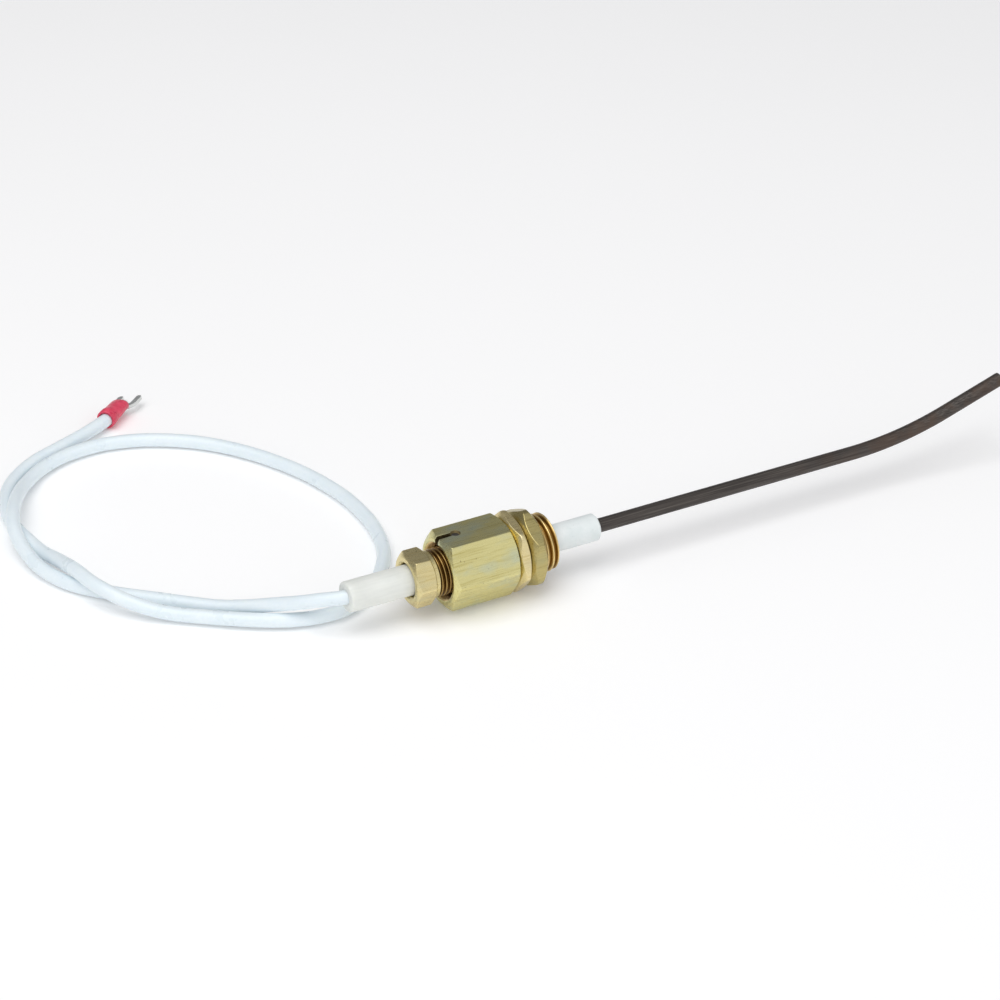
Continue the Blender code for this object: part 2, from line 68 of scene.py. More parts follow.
def smooth_line(points, spacing):
    """Points at even spacing along one smooth curve through the given points."""
    fine = []
    count = len(points)
    for k in range(count - 1):
        here = points[k]
        after = points[k + 1]
        leave = here + (after - points[max(k - 1, 0)]) / 6.0
        reach = after - (points[min(k + 2, count - 1)] - here) / 6.0
        fine.extend(interpolate_bezier(here, leave, reach, after, 24)[:-1])
    fine.append(points[-1])
    travelled = [0.0]
    for k in range(1, len(fine)):
        travelled.append(travelled[-1] + (fine[k] - fine[k - 1]).length)
    steps = round(travelled[-1] / spacing)
    even = []
    now = 0
    for step in range(steps + 1):
        target = travelled[-1] * step / steps
        while now < len(fine) - 2 and travelled[now + 1] < target:
            now += 1
        part = (target - travelled[now]) / (travelled[now + 1] - travelled[now])
        even.append(fine[now].lerp(fine[now + 1], min(part, 1.0)))
    return even


def link(name, data, location=(0.0, 0.0, 0.0), rotation=(0.0, 0.0, 0.0)):
    piece = bpy.data.objects.new(name, data)
    piece.location = location
    piece.rotation_euler = rotation
    bpy.context.collection.objects.link(piece)
    return piece


def mesh_from(name, verts, faces):
    mesh = bpy.data.meshes.new(name)
    mesh.from_pydata(verts, [], faces)
    mesh.validate()
    mesh.shade_smooth()
    return mesh


def round_corners(points, radius, steps=2):
    """Each corner of a closed outline is replaced by a short curve of steps + 1 points."""
    rounded = []
    count = len(points)
    for k in range(count):
        here = Vector(points[k])
        back = Vector(points[k - 1]) - here
        on = Vector(points[(k + 1) % count]) - here
        cut_back = min(radius, back.length * 0.4)
        cut_on = min(radius, on.length * 0.4)
        start = here + back.normalized() * cut_back if back.length > 1e-9 else here
        end = here + on.normalized() * cut_on if on.length > 1e-9 else here
        for step in range(steps + 1):
            t = step / steps
            spot = start * (1 - t) ** 2 + here * (2 * t * (1 - t)) + end * t ** 2
            rounded.append((spot.x, spot.y))
    return rounded


def hexagon_angles(roll=0.0):
    """Angles for one turn, close together near a hexagon's six corners."""
    offsets = [0.0, 0.5, 1.0, 1.6, 2.6, 4.5, 8.0, 13.0, 19.0, 25.0, 30.0]
    offsets += [60.0 - k for k in reversed(offsets[1:-1])]
    return [math.radians(60.0 * side + k) for side in range(6) for k in offsets]


def even_angles(count):
    return [2.0 * math.pi * k / count for k in range(count)]


def spun(name, outline_at, angles):
    """A closed section spun about X: outline_at(angle) lists its (x, radius) points."""
    verts = []
    for angle in angles:
        side = math.cos(angle)
        rise = math.sin(angle)
        verts += [(x, r * side, r * rise) for x, r in outline_at(angle)]
    count = len(verts) // len(angles)
    faces = []
    for step in range(len(angles)):
        here = step * count
        after = (step + 1) % len(angles) * count
        for k in range(count):
            n = (k + 1) % count
            faces.append((here + k, after + k, after + n, here + n))
    return mesh_from(name, verts, faces)


def weighted(piece):
    """Keep broad flat faces flat in shading beside their small rounded edges."""
    change = piece.modifiers.new("flat_faces", "WEIGHTED_NORMAL")
    change.keep_sharp = False
    change.weight = 100
    return piece


def hexagon_radius(angle, across_flats, corner):
    """A hexagon's side at this angle, its corners eased over to the radius corner."""
    from_middle = angle % math.radians(60.0) - math.radians(30.0)
    side = across_flats / 2.0 / math.cos(from_middle)
    ease = 0.05 * MM
    over = (side - corner) / ease
    if over > 30.0:
        return corner
    return side - ease * math.log(1.0 + math.exp(over))


def hexagon_outline(angle, across_flats, ends, faces, corner, slope=NUT_CHAMFER):
    """A chamfered hexagon's outside between its (rear, front) ends and face radii."""
    rear, front = ends
    rear_face, front_face = faces
    reach = hexagon_radius(angle, across_flats, corner)
    rear_cut = max(reach - rear_face, 0.0) * slope
    front_cut = max(reach - front_face, 0.0) * slope
    return [
        (rear, min(rear_face, reach - 0.01 * MM)), (rear + rear_cut + 0.02 * MM, reach),
        (front - front_cut - 0.02 * MM, reach), (front, min(front_face, reach - 0.01 * MM)),
    ]


def helix_outline(angle, rear, front, crest, root, pitch, fades, samples=10):
    """A screw thread's outside as (x, radius) points, fading out over each end's length."""
    points = []
    count = round((front - rear) / pitch * samples)
    for step in range(count + 1):
        x = rear + (front - rear) * step / count
        phase = ((x - rear) / pitch - angle / (2.0 * math.pi)) % 1.0
        ridge = abs(phase * 2.0 - 1.0)
        height = min(max((ridge - 0.12) / 0.72, 0.0), 1.0)
        rise = min((x - rear) / fades[0], (front - x) / fades[1], 1.0)
        points.append((x, root + (crest - root) * height * rise))
    return points


# ---- materials -------------------------------------------------------------------------

def new_material(name):
    material = bpy.data.materials.new(name)
    material.use_nodes = True
    return material, material.node_tree, material.node_tree.nodes["Principled BSDF"]


def node(tree, kind, **settings):
    made = tree.nodes.new(kind)
    for key, value in settings.items():
        if hasattr(made, key):
            setattr(made, key, value)
        else:
            made.inputs[key].default_value = value
    return made


def local_noise(tree, scale, detail=3.0, roughness=0.55, stretch=(1.0, 1.0, 1.0)):
    """Noise fixed to the piece: scale is in features per metre, stretched per axis."""
    coords = tree.nodes.new("ShaderNodeTexCoord")
    mapping = tree.nodes.new("ShaderNodeMapping")
    mapping.inputs["Scale"].default_value = stretch
    tree.links.new(coords.outputs["Object"], mapping.inputs["Vector"])
    noise = node(tree, "ShaderNodeTexNoise", Scale=scale, Detail=detail, Roughness=roughness)
    tree.links.new(mapping.outputs["Vector"], noise.inputs["Vector"])
    return noise.outputs["Fac"]


def ramp(tree, factor, stops):
    made = tree.nodes.new("ShaderNodeValToRGB")
    elements = made.color_ramp.elements
    while len(elements) < len(stops):
        elements.new(0.5)
    for element, (position, colour) in zip(elements, stops):
        element.position = position
        element.color = colour if len(colour) == 4 else (*colour, 1.0)
    tree.links.new(factor, made.inputs["Fac"])
    return made.outputs["Color"]


def grey_ramp(tree, factor, low, high, at_low, at_high):
    spread = tree.nodes.new("ShaderNodeMapRange")
    for key, value in (("From Min", low), ("From Max", high), ("To Min", at_low), ("To Max", at_high)):
        spread.inputs[key].default_value = value
    tree.links.new(factor, spread.inputs["Value"])
    return spread.outputs["Result"]


def mix(tree, factor, a, b, blend="MIX"):
    made = tree.nodes.new("ShaderNodeMix")
    made.data_type = "RGBA"
    made.blend_type = blend
    for key, value in ((0, factor), (6, a), (7, b)):
        if isinstance(value, (int, float)):
            made.inputs[key].default_value = value
        elif isinstance(value, tuple):
            made.inputs[key].default_value = (*value, 1.0)
        else:
            tree.links.new(value, made.inputs[key])
    return made.outputs[2]


def bump(tree, shader, height, distance, strength=1.0):
    made = node(tree, "ShaderNodeBump", Distance=distance, Strength=strength)
    tree.links.new(height, made.inputs["Height"])
    tree.links.new(made.outputs["Normal"], shader.inputs["Normal"])


def radius_from_axis(tree):
    """Distance from the piece's own X axis, in metres."""
    coords = tree.nodes.new("ShaderNodeTexCoord")
    flat = node(tree, "ShaderNodeVectorMath", operation="MULTIPLY")
    flat.inputs[1].default_value = (0.0, 1.0, 1.0)
    length = node(tree, "ShaderNodeVectorMath", operation="LENGTH")
    tree.links.new(coords.outputs["Object"], flat.inputs[0])
    tree.links.new(flat.outputs["Vector"], length.inputs[0])
    return length.outputs["Value"]


def place_along_axis(tree):
    """Place along the piece's own X axis, in metres."""
    coords = tree.nodes.new("ShaderNodeTexCoord")
    split = tree.nodes.new("ShaderNodeSeparateXYZ")
    tree.links.new(coords.outputs["Object"], split.inputs["Vector"])
    return split.outputs["X"]


def brass(name, pale, deep, cool, thread=None):
    """Drawn brass: lengthwise streaks, cooler patches, tarnish, and painted shade in a thread's roots.

    thread is (root radius, crest radius, root colour, crest colour, rear end) of a thread; its root
    colour is painted shade.
    """
    material, tree, shader = new_material(name)
    streak = local_noise(tree, 1.0, 4.0, 0.6, (90.0, 2600.0, 2600.0))
    patch = local_noise(tree, 210.0, 3.0, 0.6, (0.45, 1.0, 1.0))
    fine = local_noise(tree, 1.0, 5.0, 0.7, (500.0, 9000.0, 9000.0))
    colour = ramp(tree, streak, [(0.30, deep), (0.50, pale), (0.72, pale)])
    colour = mix(tree, grey_ramp(tree, patch, 0.48, 0.70, 0.0, 0.75), colour, cool)
    if thread:
        root, crest, root_colour, crest_colour, rear_end = thread
        reach = radius_from_axis(tree)
        depth = grey_ramp(tree, reach, root, crest, 0.0, 1.0)
        # painted shade: the thread's colour darkens from crest to root, standing in for the shade in
        # its grooves
        painted_root_shade = ramp(tree, depth, [(0.0, root_colour), (0.55, root_colour), (0.9, crest_colour)])
        along = place_along_axis(tree)
        ahead = grey_ramp(tree, along, rear_end, rear_end + 0.1 * MM, 0.0, 1.0)
        within = grey_ramp(tree, reach, crest + 0.06 * MM, crest + 0.12 * MM, 1.0, 0.0)
        on_thread = node(tree, "ShaderNodeMath", operation="MULTIPLY")
        tree.links.new(ahead, on_thread.inputs[0])
        tree.links.new(within, on_thread.inputs[1])
        colour = mix(tree, on_thread.outputs["Value"], colour, painted_root_shade)
    nick = local_noise(tree, 1500.0, 2.0, 0.5)
    spots = grey_ramp(tree, nick, 0.70, 0.76, 0.0, 0.65)
    colour = mix(tree, spots, colour, (0.16, 0.11, 0.05))
    tree.links.new(colour, shader.inputs["Base Color"])
    shader.inputs["Metallic"].default_value = 1.0
    tree.links.new(grey_ramp(tree, fine, 0.3, 0.7, 0.20, 0.40), shader.inputs["Roughness"])
    bump(tree, shader, mix(tree, 0.5, streak, fine), 0.02 * MM, 0.55)
    return material


def plain_metal(name, light, dark, roughness, stretch, scale):
    material, tree, shader = new_material(name)
    grain = local_noise(tree, scale, 4.0, 0.6, stretch)
    tree.links.new(ramp(tree, grain, [(0.3, dark), (0.7, light)]), shader.inputs["Base Color"])
    shader.inputs["Metallic"].default_value = 1.0
    rough = grey_ramp(tree, grain, 0.3, 0.7, roughness - 0.08, roughness + 0.08)
    tree.links.new(rough, shader.inputs["Roughness"])
    bump(tree, shader, grain, 0.01 * MM, 0.4)
    return material


def rod_skin():
    """Dark oxide on heat-resisting wire: drawn lines, and a rusty tint about the bend."""
    material, tree, shader = new_material("rod_oxide")
    drawn = local_noise(tree, 1.0, 4.0, 0.65, (60.0, 3500.0, 3500.0))
    patch = local_noise(tree, 160.0, 3.0, 0.6)
    colour = ramp(tree, drawn, [(0.28, (0.030, 0.026, 0.024)), (0.50, (0.074, 0.064, 0.058)),
                                (0.75, (0.15, 0.135, 0.12))])
    rising = grey_ramp(tree, place_along_axis(tree), 20.0 * MM, 62.0 * MM, 0.0, 1.0)
    rust = node(tree, "ShaderNodeMath", operation="MULTIPLY")
    tree.links.new(rising, rust.inputs[0])
    tree.links.new(grey_ramp(tree, patch, 0.42, 0.62, 0.0, 0.75), rust.inputs[1])
    colour = mix(tree, rust.outputs["Value"], colour, (0.105, 0.070, 0.052))
    tree.links.new(colour, shader.inputs["Base Color"])
    shader.inputs["Metallic"].default_value = 0.65
    tree.links.new(grey_ramp(tree, patch, 0.3, 0.7, 0.42, 0.62), shader.inputs["Roughness"])
    bump(tree, shader, drawn, 0.04 * MM, 0.7)
    return material


def fired_ceramic():
    material, tree, shader = new_material("fired_ceramic")
    cloud = local_noise(tree, 260.0, 3.0, 0.6)
    speck = local_noise(tree, 2600.0, 2.0, 0.5)
    colour = ramp(tree, cloud, [(0.3, (0.72, 0.78, 0.78)), (0.7, (0.83, 0.87, 0.87))])
    colour = mix(tree, grey_ramp(tree, speck, 0.68, 0.78, 0.0, 0.35), colour, (0.45, 0.46, 0.44))
    tree.links.new(colour, shader.inputs["Base Color"])
    shader.inputs["Roughness"].default_value = 0.42
    shader.inputs["Subsurface Weight"].default_value = 0.12
    shader.inputs["Subsurface Radius"].default_value = (1.2, 1.2, 1.2)
    shader.inputs["Subsurface Scale"].default_value = 0.8 * MM
    bump(tree, shader, speck, 0.01 * MM, 0.35)
    return material


def silicone(name, low, high, roughness, depth, stretch=(120.0, 1500.0, 1500.0)):
    """Milky silicone rubber with faint extrusion lines and handling marks."""
    material, tree, shader = new_material(name)
    cloud = local_noise(tree, 150.0, 3.0, 0.6)
    lines = local_noise(tree, 1.0, 3.0, 0.6, stretch)
    both = mix(tree, 0.4, cloud, lines)
    tree.links.new(ramp(tree, both, [(0.3, low), (0.7, high)]), shader.inputs["Base Color"])
    tree.links.new(
        grey_ramp(tree, cloud, 0.3, 0.7, roughness - 0.07, roughness + 0.07),
        shader.inputs["Roughness"])
    shader.inputs["Subsurface Weight"].default_value = 0.35
    shader.inputs["Subsurface Radius"].default_value = (1.0, 1.0, 0.9)
    shader.inputs["Subsurface Scale"].default_value = depth
    bump(tree, shader, lines, 0.015 * MM, 0.4)
    return material


def vinyl():
    material, tree, shader = new_material("red_vinyl")
    cloud = local_noise(tree, 700.0, 3.0, 0.6)
    colour = ramp(tree, cloud, [(0.3, (0.60, 0.035, 0.085)), (0.7, (0.80, 0.085, 0.15))])
    tree.links.new(colour, shader.inputs["Base Color"])
    tree.links.new(grey_ramp(tree, cloud, 0.3, 0.7, 0.24, 0.40), shader.inputs["Roughness"])
    shader.inputs["Subsurface Weight"].default_value = 0.25
    shader.inputs["Subsurface Radius"].default_value = (1.0, 0.25, 0.3)
    shader.inputs["Subsurface Scale"].default_value = 0.5 * MM
    bump(tree, shader, cloud, 0.03 * MM, 0.4)
    return material


HOLDER_PALE = (0.72, 0.66, 0.31)
HOLDER_DEEP = (0.55, 0.48, 0.18)
HOLDER_COOL = (0.56, 0.62, 0.47)
# painted shade: the nipple thread's dark root colour stands in for the shade in its grooves
holder_brass = brass(
    "brass_holder", HOLDER_PALE, HOLDER_DEEP, HOLDER_COOL,
    (5.75 * MM, 6.55 * MM, (0.32, 0.19, 0.05), (0.85, 0.64, 0.29), -70.0 * MM))
# painted shade: the gland thread's dark crest and darker root colours stand in for the shade inside the
# holder's socket mouth
gland_brass = brass(
    "brass_gland", (0.76, 0.65, 0.34), (0.62, 0.50, 0.22), (0.62, 0.57, 0.34),
    (4.75 * MM, 5.3 * MM, (0.12, 0.06, 0.012), (0.42, 0.28, 0.10), -65.3 * MM))
inner_brass = brass("brass_inner_nut", (0.80, 0.68, 0.36), (0.64, 0.51, 0.22), (0.70, 0.62, 0.38))
outer_brass = brass("brass_outer_nut", (0.50, 0.42, 0.18), (0.36, 0.29, 0.11), (0.42, 0.39, 0.20))
inside_brass = brass("brass_inside", (0.66, 0.55, 0.28), (0.50, 0.40, 0.18), (0.55, 0.52, 0.36))
# painted shade: the guide pin's steel is darkened to stand in for the shade down in the keyhole; its
# roughness is its own
dull_shaded_steel = plain_metal(
    "dull_shaded_steel", (0.22, 0.21, 0.20), (0.09, 0.085, 0.08), 0.50, (1.0, 1.0, 1.0), 1200.0)
# painted shade: the slot's and keyhole's cut walls get a dark brown brass standing in for the shade
# inside the cuts
shaded_cut_brass = plain_metal(
    "brass_cut_wall_painted_shade", (0.24, 0.19, 0.09), (0.10, 0.075, 0.035), 0.55, (1.0, 1.0, 1.0), 1500.0)
steel = plain_metal("plain_steel", (0.60, 0.60, 0.61), (0.40, 0.40, 0.42), 0.35, (1.0, 1.0, 1.0), 900.0)
tin = plain_metal("tinned_copper", (0.80, 0.82, 0.80), (0.62, 0.64, 0.62), 0.42, (1.0, 1.0, 1.0), 700.0)
copper = plain_metal(
    "copper_strand", (0.80, 0.50, 0.34), (0.55, 0.30, 0.18), 0.34, (0.2, 1.0, 1.0), 3000.0)
graphite = plain_metal(
    "graphite", (0.14, 0.14, 0.15), (0.05, 0.05, 0.055), 0.55, (1.0, 1.0, 1.0), 1500.0)
rod_oxide = rod_skin()
ceramic = fired_ceramic()
cement = silicone("rough_cement", (0.45, 0.43, 0.38), (0.66, 0.64, 0.58), 0.80, 0.2 * MM)
sleeve_rubber = silicone("sleeve_silicone", (0.70, 0.72, 0.68), (0.83, 0.85, 0.80), 0.42, 1.2 * MM)
lead_rubber = silicone(
    "lead_silicone", (0.76, 0.85, 0.90), (0.83, 0.90, 0.94), 0.32, 1.2 * MM,
    (1400.0, 1400.0, 1400.0))
red_vinyl = vinyl()


# ---- the lead, which comes first -------------------------------------------------------

LEAD_RADIUS = 1.6 * MM
LEAD_ROUTE = [                    # in mm, from inside the rear sleeve to the terminal's barrel
    (-72.6, 0.0, 9.3), (-79.0, 0.0, 9.3), (-83.5, 0.1, 9.3), (-86.2, 0.9, 9.0), (-89.9, 3.4, 8.2),
    (-93.1, 6.6, 6.8), (-94.9, 9.0, 5.8), (-97.6, 12.4, 4.4), (-100.8, 16.0, 3.0),
    (-105.6, 20.6, 1.8), (-110.7, 25.2, 1.65), (-115.7, 29.7, 1.7), (-120.8, 34.3, 1.7),
    (-124.1, 37.5, 1.7), (-127.4, 41.1, 1.65), (-130.4, 45.4, 1.65), (-132.8, 50.8, 1.8),
    (-134.2, 56.1, 2.4), (-134.6, 62.0, 3.4), (-134.2, 67.3, 4.5), (-132.8, 72.1, 5.1),
    (-130.0, 78.1, 4.8), (-126.0, 85.4, 3.2), (-121.8, 90.7, 2.2), (-117.0, 94.8, 1.9),
    (-111.2, 97.6, 1.8), (-105.0, 98.9, 1.7), (-98.3, 98.7, 1.65), (-89.4, 95.7, 1.65),
    (-79.6, 88.8, 1.65), (-71.4, 78.6, 1.65), (-64.9, 65.4, 1.65), (-61.3, 51.7, 1.65),
    (-60.7, 40.0, 1.65), (-61.6, 32.5, 1.65), (-63.5, 25.7, 1.65), (-66.9, 19.3, 1.65),
    (-73.3, 11.8, 1.65), (-82.0, 7.1, 1.65), (-88.3, 6.7, 1.8), (-92.7, 7.6, 1.9),
    (-96.8, 9.2, 2.0), (-102.3, 12.5, 2.0), (-107.5, 16.3, 1.9), (-111.0, 19.0, 1.9),
    (-114.5, 21.7, 1.9), (-118.0, 24.4, 2.3), (-121.3, 27.4, 3.1), (-124.4, 31.1, 4.0),
    (-126.4, 34.4, 4.7), (-128.0, 38.5, 5.1), (-129.0, 44.6, 5.1), (-129.6, 52.1, 3.5),
    (-130.8, 60.5, 1.9), (-131.6, 68.3, 1.65), (-131.9, 74.1, 1.65), (-131.2, 80.1, 1.65),
    (-129.4, 85.8, 1.65), (-127.2, 89.9, 1.65), (-124.3, 93.5, 1.65), (-120.2, 97.0, 1.65),
    (-115.6, 99.8, 1.65), (-109.7, 102.2, 1.7), (-103.3, 104.6, 1.9), (-99.3, 106.3, 2.1),
    (-95.2, 108.5, 2.2), (-93.1, 110.4, 2.3),
]


def swept(name, points, radius, resolution):
    curve = bpy.data.curves.new(name, "CURVE")
    curve.dimensions = "3D"
    curve.bevel_depth = radius
    curve.bevel_resolution = resolution
    curve.use_fill_caps = True
    line = curve.splines.new("POLY")
    line.points.add(len(points) - 1)
    for point, where in zip(line.points, points):
        point.co = (*where, 1.0)
    line.use_smooth = True
    return link(name, curve)


lead_points = smooth_line([Vector(point) * MM for point in LEAD_ROUTE], 1.6 * MM)
lead = swept("lead", lead_points, LEAD_RADIUS, 6)
lead.data.materials.append(lead_rubber)
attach(lead, "probe")
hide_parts("lead_wire")


# ---- the sleeve the lead comes out of --------------------------------------------------

def sleeve_mesh():
    """A soft tube round the probe's rear, its rear lip drawn in on the lead and led off by it."""
    section = round_corners([
        (-85.2 * MM, 1.45 * MM), (-85.2 * MM, 3.35 * MM), (-84.6 * MM, 3.45 * MM),
        (-63.7 * MM, 3.45 * MM), (-63.7 * MM, 2.8 * MM), (-83.6 * MM, 2.75 * MM),
    ], 0.35 * MM, 4)
    mesh = spun("sleeve", lambda angle: section, even_angles(64))
    near = [point for point in lead_points if point.x < -78.0 * MM][:8]
    for vertex in mesh.vertices:
        x = vertex.co.x
        for ahead, behind in zip(near, near[1:]):
            if behind.x <= x < ahead.x:
                centre = ahead.lerp(behind, (ahead.x - x) / (ahead.x - behind.x))
                vertex.co.y += centre.y
                vertex.co.z += centre.z - AXIS
    return mesh


sleeve = link("sleeve", sleeve_mesh(), (0.0, 0.0, AXIS))
sleeve.data.materials.append(sleeve_rubber)
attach(sleeve, "probe")
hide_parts("rear_sleeve")


# ---- the terminal's sleeve -------------------------------------------------------------

TERMINAL_SLEEVE = [                # (x, half width, half height) in mm: round, then pressed flat
    (0.0, 1.7, 1.7), (0.0, 2.15, 2.15), (0.15, 2.3, 2.3), (1.6, 2.3, 2.3), (2.0, 2.3, 2.28),
    (2.6, 2.28, 2.1), (3.4, 2.34, 1.95), (4.2, 2.42, 1.78), (5.0, 2.44, 1.8), (6.0, 2.48, 1.7),
    (7.0, 2.52, 1.58), (7.8, 2.54, 1.5), (8.0, 2.42, 1.38), (7.9, 2.2, 1.2), (5.0, 2.13, 1.5),
    (3.3, 2.05, 1.75), (1.7, 2.0, 2.0),
]
TERMINAL_PLACE = Matrix.LocRotScale(
    Vector((-95.2, 108.5, 2.3)) * MM, Euler((math.radians(-14.0), 0.0, math.radians(42.0))), None)


def oval_at(angle):
    side = abs(math.cos(angle))
    rise = abs(math.sin(angle))
    return [(x * MM, MM / math.hypot(side / wide, rise / high))
            for x, wide, high in TERMINAL_SLEEVE]


red_sleeve_mesh = spun("red_sleeve", oval_at, even_angles(64))
red_sleeve_mesh.transform(TERMINAL_PLACE)
red_sleeve = link("red_sleeve", red_sleeve_mesh)
red_sleeve.data.materials.append(red_vinyl)
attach(red_sleeve, "probe")
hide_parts("terminal_sleeve")


# ---- the holder body -------------------------------------------------------------------

HOLDER_REAR = -63.2 * MM
HOLDER_SHOULDER = -47.3 * MM
HOLDER_ACROSS_FLATS = 16.0 * MM
SOCKET_RADIUS = 5.45 * MM
SOCKET_MOUTH_RADIUS = 6.7 * MM
NIPPLE_FRONT = -36.4 * MM
SLOT_MIDDLE = 0.6 * MM
SLOT_HALF_WIDTH = 0.65 * MM
KEYHOLE_X = -58.6 * MM


def holder_section(angle):
    outside = hexagon_outline(
        angle, HOLDER_ACROSS_FLATS, (HOLDER_REAR, HOLDER_SHOULDER),
        (7.35 * MM, 8.1 * MM), 9.16 * MM)
    outside += [(HOLDER_SHOULDER, 5.8 * MM), (HOLDER_SHOULDER + 0.4 * MM, 5.8 * MM)]
    inside = [
        (NIPPLE_FRONT, 3.6 * MM), (NIPPLE_FRONT - 0.25 * MM, 3.35 * MM),
        (-50.1 * MM, 3.35 * MM), (-50.1 * MM, SOCKET_RADIUS),
        (HOLDER_REAR + SOCKET_MOUTH_RADIUS - SOCKET_RADIUS, SOCKET_RADIUS),
        (HOLDER_REAR, SOCKET_MOUTH_RADIUS),
    ]
    hexagon = round_corners(inside + outside, 0.11 * MM)
    thread = helix_outline(
        angle, HOLDER_SHOULDER + 0.5 * MM, NIPPLE_FRONT - 0.05 * MM,
        6.58 * MM, 5.7 * MM, 1.337 * MM, (1.1 * MM, 0.35 * MM))
    return hexagon + thread + [(NIPPLE_FRONT, 5.65 * MM)]


def box_mesh(name, low, high):
    corners = [(x, y, z) for x in (low[0], high[0]) for y in (low[1], high[1])
               for z in (low[2], high[2])]
    faces = [(0, 1, 3, 2), (4, 6, 7, 5), (0, 4, 5, 1), (2, 3, 7, 6), (0, 2, 6, 4), (1, 5, 7, 3)]
    return mesh_from(name, corners, faces)


def upright(name, low, high, radius, count=48):
    verts = []
    for level in (low, high):
        for angle in even_angles(count):
            verts.append((radius * math.cos(angle), radius * math.sin(angle), level))
    faces = [tuple(reversed(range(count))), tuple(range(count, 2 * count))]
    for k in range(count):
        n = (k + 1) % count
        faces.append((k, n, count + n, count + k))
    return mesh_from(name, verts, faces)


def cut_away(piece, name, mesh, location):
    # the cut walls take the dark painted-shade brass
    mesh.materials.append(shaded_cut_brass)
    cutter = link(name, mesh, location)
    change = piece.modifiers.new(name, "BOOLEAN")
    change.operation = "DIFFERENCE"
    change.solver = "EXACT"
    change.material_mode = "TRANSFER"
    change.object = cutter
    return cutter


def apply_modifiers(piece, cutters):
    """Fix the cut shape in the mesh, and remove what cut it."""
    shaped = piece.evaluated_get(bpy.context.evaluated_depsgraph_get())
    mesh = bpy.data.meshes.new_from_object(shaped)
    piece.modifiers.clear()
    piece.data = mesh
    for cutter in cutters:
        bpy.data.objects.remove(cutter, do_unlink=True)


angles = sorted(set(hexagon_angles()))
holder = link("holder", spun("holder", holder_section, angles), (0.0, 0.0, AXIS))
holder.data.materials.append(holder_brass)
slot_low = (HOLDER_REAR - 1.0 * MM, SLOT_MIDDLE - SLOT_HALF_WIDTH, 3.0 * MM)
slot_high = (KEYHOLE_X, SLOT_MIDDLE + SLOT_HALF_WIDTH, 9.5 * MM)
cutters = [
    cut_away(holder, "slot", box_mesh("slot", slot_low, slot_high), (0.0, 0.0, AXIS)),
    cut_away(holder, "keyhole", upright("keyhole", 3.2 * MM, 9.7 * MM, 1.15 * MM),
             (KEYHOLE_X, SLOT_MIDDLE, AXIS)),
]
apply_modifiers(holder, cutters)
weighted(holder)
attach(holder, "holder")
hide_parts("holder_body")


# ---- the gland nut ---------------------------------------------------------------------

GLAND_REAR = -70.9 * MM
GLAND_FRONT = -66.2 * MM


def gland_section(angle):
    inside = [
        (-60.9 * MM, 4.0 * MM), (-61.1 * MM, 3.75 * MM),
        (GLAND_REAR + 0.45 * MM, 3.75 * MM), (GLAND_REAR, 4.2 * MM),
    ]
    outside = hexagon_outline(
        angle, 11.3 * MM, (GLAND_REAR, GLAND_FRONT), (5.1 * MM, 5.5 * MM), 6.45 * MM)
    outside += [(GLAND_FRONT, 5.35 * MM), (GLAND_FRONT + 0.9 * MM, 5.3 * MM)]
    hexagon = round_corners(inside + outside, 0.10 * MM)
    thread = helix_outline(
        angle, GLAND_FRONT + 1.0 * MM, -60.95 * MM, 5.3 * MM, 4.75 * MM, 1.0 * MM,
        (0.25 * MM, 0.4 * MM))
    return hexagon + thread


gland = link("gland", spun("gland", gland_section, angles), (0.0, 0.0, AXIS))
gland.data.materials.append(gland_brass)
weighted(gland)
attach(gland, "gland")
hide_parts("gland_nut")


# ---- the jam nuts ----------------------------------------------------------------------

def jam_nut(name, body, cad_node, rear, thickness, face, slope, roll, material):
    def section(angle):
        outside = hexagon_outline(
            angle, 16.6 * MM, (0.0, thickness), (face, face), 9.24 * MM, slope)
        inside = [
            (thickness, 7.0 * MM), (thickness - 0.4 * MM, 6.63 * MM),
            (0.4 * MM, 6.63 * MM), (0.0, 7.0 * MM),
        ]
        return round_corners(outside + inside, 0.12 * MM)

    mesh = spun(name, section, angles)
    mesh.transform(Matrix.Rotation(math.radians(roll), 4, "X"))
    nut = link(name, mesh, (rear, 0.0, AXIS))
    nut.data.materials.append(material)
    weighted(nut)
    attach(nut, body)
    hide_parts(cad_node)


jam_nut("nut_inner", "inner_nut", "jam_nut_inner",
        -47.05 * MM, 2.7 * MM, 7.7 * MM, NUT_CHAMFER, 13.0, inner_brass)
jam_nut("nut_outer", "outer_nut", "jam_nut_outer",
        -44.15 * MM, 4.1 * MM, 7.5 * MM, math.tan(math.radians(38.0)), 33.0, outer_brass)


# ---- the sensing rod -------------------------------------------------------------------

def rod_line():
    points = [Vector((x * MM, 0.0, AXIS)) for x in range(-68, 44, 4)]
    points[0].x = -68.6 * MM
    points[-1].x = 43.6 * MM
    bend = math.radians(17.5)
    bend_start = 43.6 * MM
    bend_radius = 86.0 * MM
    for step in range(1, 25):
        angle = bend * step / 24
        points.append(Vector((
            bend_start + bend_radius * math.sin(angle), 0.0,
            AXIS + bend_radius * (1.0 - math.cos(angle)))))
    bend_end = points[-1]
    along = Vector((math.cos(bend), 0.0, math.sin(bend)))
    for step in range(1, 5):
        points.append(bend_end + along * 4.0 * MM * step)
    return points


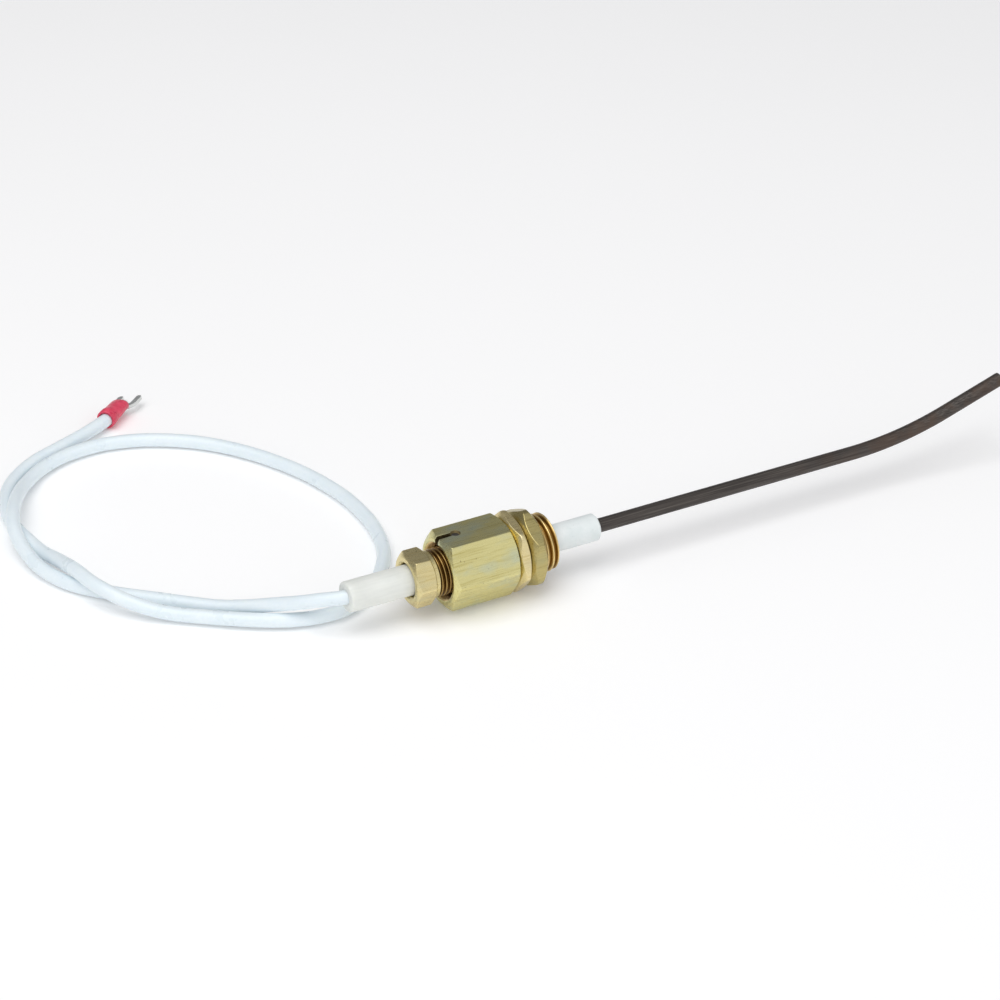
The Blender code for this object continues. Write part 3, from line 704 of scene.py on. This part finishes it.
def rod_mesh():
    """A round bar along the rod's line, its sawn tip with a broken edge."""
    line = rod_line()
    ring = 40
    verts = []
    stations = []
    for k, point in enumerate(line):
        ahead = line[min(k + 1, len(line) - 1)]
        behind = line[max(k - 1, 0)]
        along = (ahead - behind).normalized()
        stations.append((point, along, 1.6 * MM))
    tip, along, radius = stations.pop()
    stations.append((tip - along * 0.16 * MM, along, radius))
    stations.append((tip - along * 0.05 * MM, along, radius - 0.06 * MM))
    stations.append((tip, along, radius - 0.17 * MM))
    for point, along, radius in stations:
        up = Vector((-along.z, 0.0, along.x))
        for angle in even_angles(ring):
            offset = Vector((0.0, math.cos(angle), 0.0)) + up * math.sin(angle)
            verts.append(point + offset * radius)
    faces = [tuple(range(ring))]
    for k in range(len(stations) - 1):
        for j in range(ring):
            n = (j + 1) % ring
            faces.append((k * ring + j, (k + 1) * ring + j, (k + 1) * ring + n, k * ring + n))
    last = (len(stations) - 1) * ring
    faces.append(tuple(reversed(range(last, last + ring))))
    mesh = mesh_from("rod", verts, faces)
    mesh.update()
    return mesh


rod = link("rod", rod_mesh())
rod.data.materials.append(rod_oxide)
weighted(rod)
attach(rod, "probe")
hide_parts("sensing_rod")


# ---- the CAD pieces that keep their shape ----------------------------------------------

CARRIED = {
    "ceramic_tube": ceramic, "front_cement_seal": cement, "rear_cement_seal": cement,
    "crimp_ferrule": tin, "lead_core_rear": copper,
    "slip_washer": steel, "thrust_bush": inside_brass, "guide_pin": dull_shaded_steel,
    "packing_ring_1": graphite, "packing_ring_2": graphite, "packing_ring_3": graphite,
    "seat_washer": inside_brass, "fork_terminal": tin,
    "lead_core_front": copper,
}
for name, material in CARRIED.items():
    carried = bpy.data.objects[name]
    carried.data.materials.clear()
    carried.data.materials.append(material)


# ---- floor and light -------------------------------------------------------------------

def make_floor():
    floor = link("floor", box_mesh("floor", (-2.0, -2.0, -0.01), (2.0, 2.0, -0.0002)))
    material, tree, shader = new_material("floor_paint")
    cloud = local_noise(tree, 3.0)
    colour = ramp(tree, cloud, [(0.3, (0.93, 0.93, 0.93)), (0.7, (0.95, 0.95, 0.95))])
    tree.links.new(colour, shader.inputs["Base Color"])
    shader.inputs["Roughness"].default_value = 0.9
    shader.inputs["Emission Color"].default_value = (1.0, 1.0, 1.0, 1.0)
    shader.inputs["Emission Strength"].default_value = 0.11
    floor.data.materials.append(material)


def soft_light(name, direction, distance, size, power):
    data = bpy.data.lights.new(name, "AREA")
    data.shape = "RECTANGLE"
    data.size, data.size_y = size
    data.energy = power
    lamp = link(name, data)
    centre = Vector((-30.0, 20.0, 5.0)) * MM
    lamp.location = centre + Vector(direction).normalized() * distance
    lamp.rotation_euler = (centre - lamp.location).to_track_quat("-Z", "Y").to_euler()


def make_world():
    """A soft studio sky: bright overhead and in front, dim low down behind the object."""
    world = bpy.data.worlds.new("studio")
    bpy.context.scene.world = world
    world.use_nodes = True
    tree = world.node_tree
    background = tree.nodes["Background"]
    coords = tree.nodes.new("ShaderNodeTexCoord")
    split = tree.nodes.new("ShaderNodeSeparateXYZ")
    tree.links.new(coords.outputs["Generated"], split.inputs["Vector"])
    front = grey_ramp(tree, split.outputs["Y"], 0.35, -0.55, 0.0, 1.0)
    colour = ramp(tree, front, [(0.0, (0.30, 0.30, 0.31)), (1.0, (0.95, 0.95, 0.96))])
    tree.links.new(colour, background.inputs["Color"])
    background.inputs["Strength"].default_value = 0.9


make_floor()
make_world()
soft_light("top_light", (-0.35, -0.1, 1.0), 1.4, (1.3, 1.3), 10.5)
bpy.context.scene.view_settings.view_transform = "Standard"
